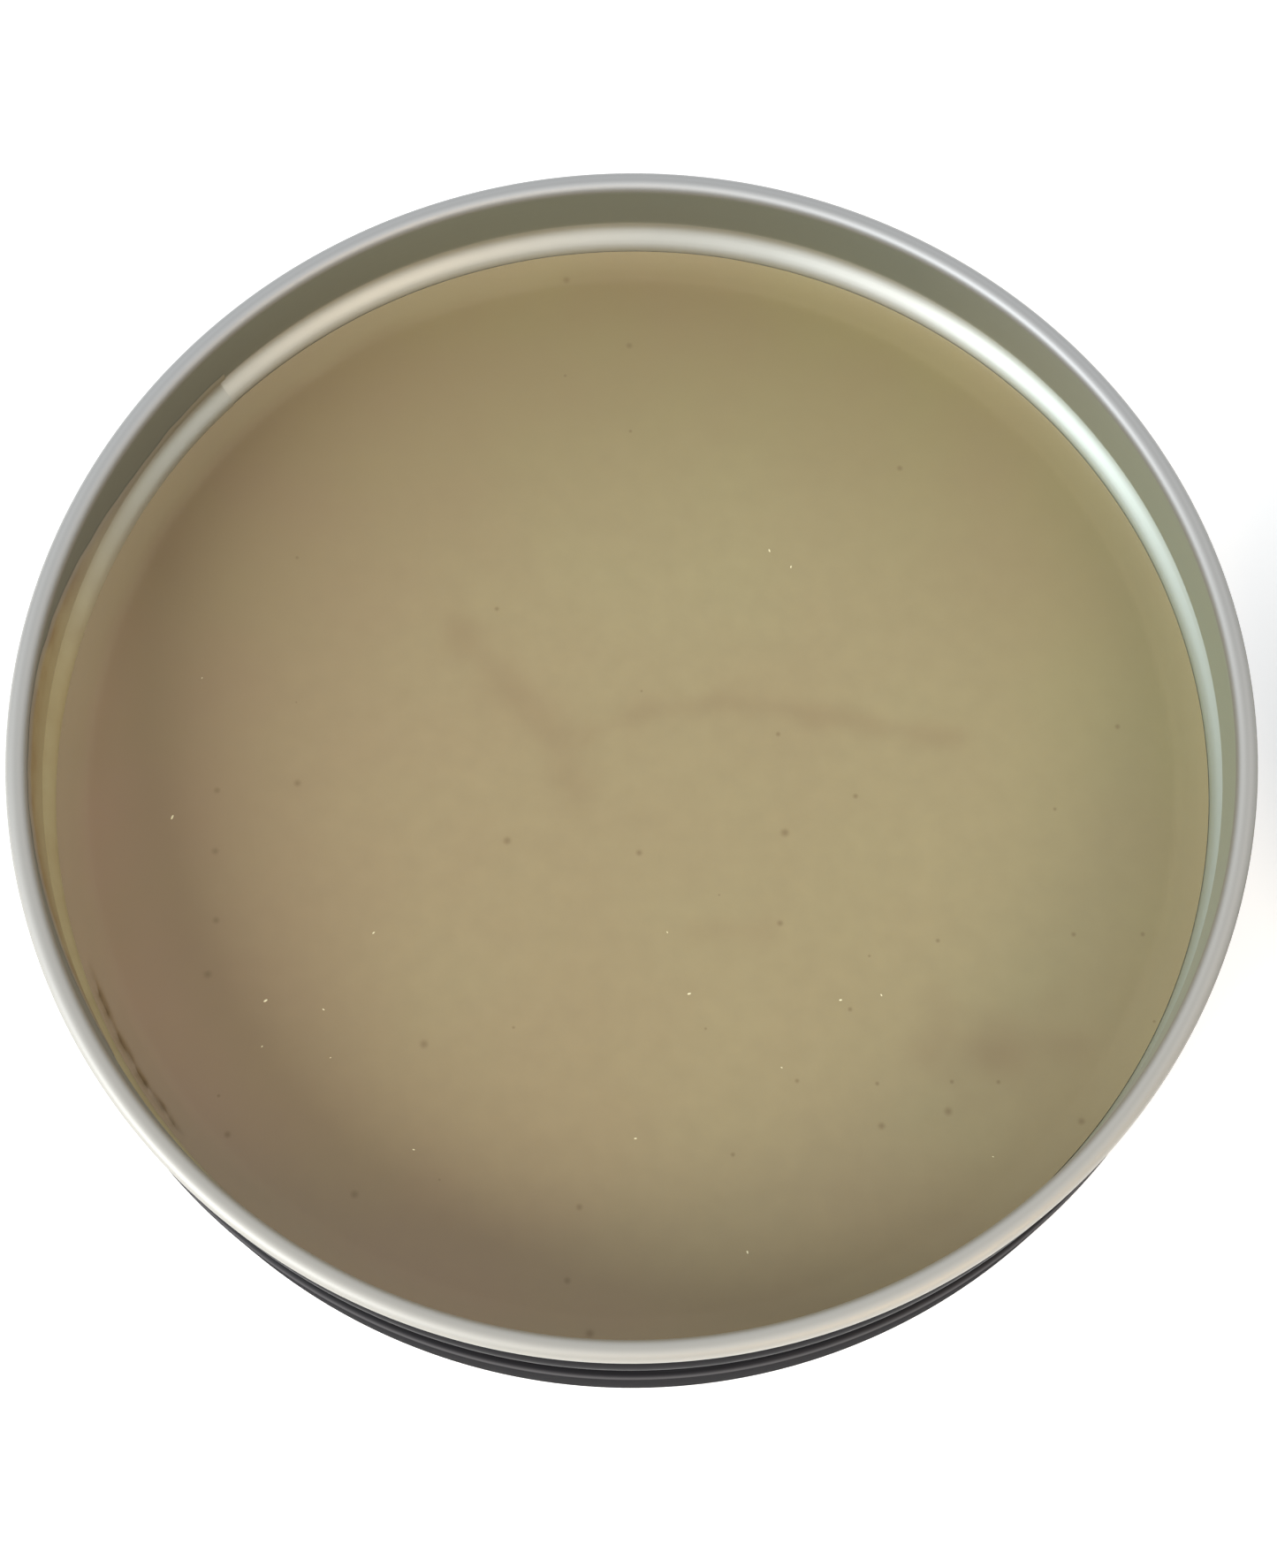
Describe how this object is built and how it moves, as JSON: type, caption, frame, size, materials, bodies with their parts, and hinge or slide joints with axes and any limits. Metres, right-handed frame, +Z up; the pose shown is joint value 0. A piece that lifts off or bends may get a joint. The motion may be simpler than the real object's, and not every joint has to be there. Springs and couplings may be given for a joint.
{
  "type": "shoe polish tin",
  "caption": "Shallow round tin of wax shoe polish with a rolled rim, a snap bead round its neck and a press-on lid lying open beside it.",
  "frame": {"origin": "middle of the tin's flat underside", "axes": "+Z up through the tin's mouth, +X from the tin towards the lid that lies beside it"},
  "size_m": [0.1753, 0.084, 0.0178],
  "materials": {
    "tinplate": "bare satin tinplate inside and on the rolled rim, black lacquer on the outside wall",
    "wax": "satin wax, yellow-brown",
    "lacquer": "black lacquer outside, bare tinplate inside"
  },
  "bodies": {
    "base": {"base_can": "tinplate", "polish": "wax"},
    "lid": {"lid_shell": "lacquer"}
  },
  "joints": [
    {"name": "lid_turn_over", "type": "hinge", "parent": "base", "child": "lid", "pos_m": [0.046, 0, 0.00945], "axis": [0, -1, 0], "range_deg": [0, 180]}
  ]
}
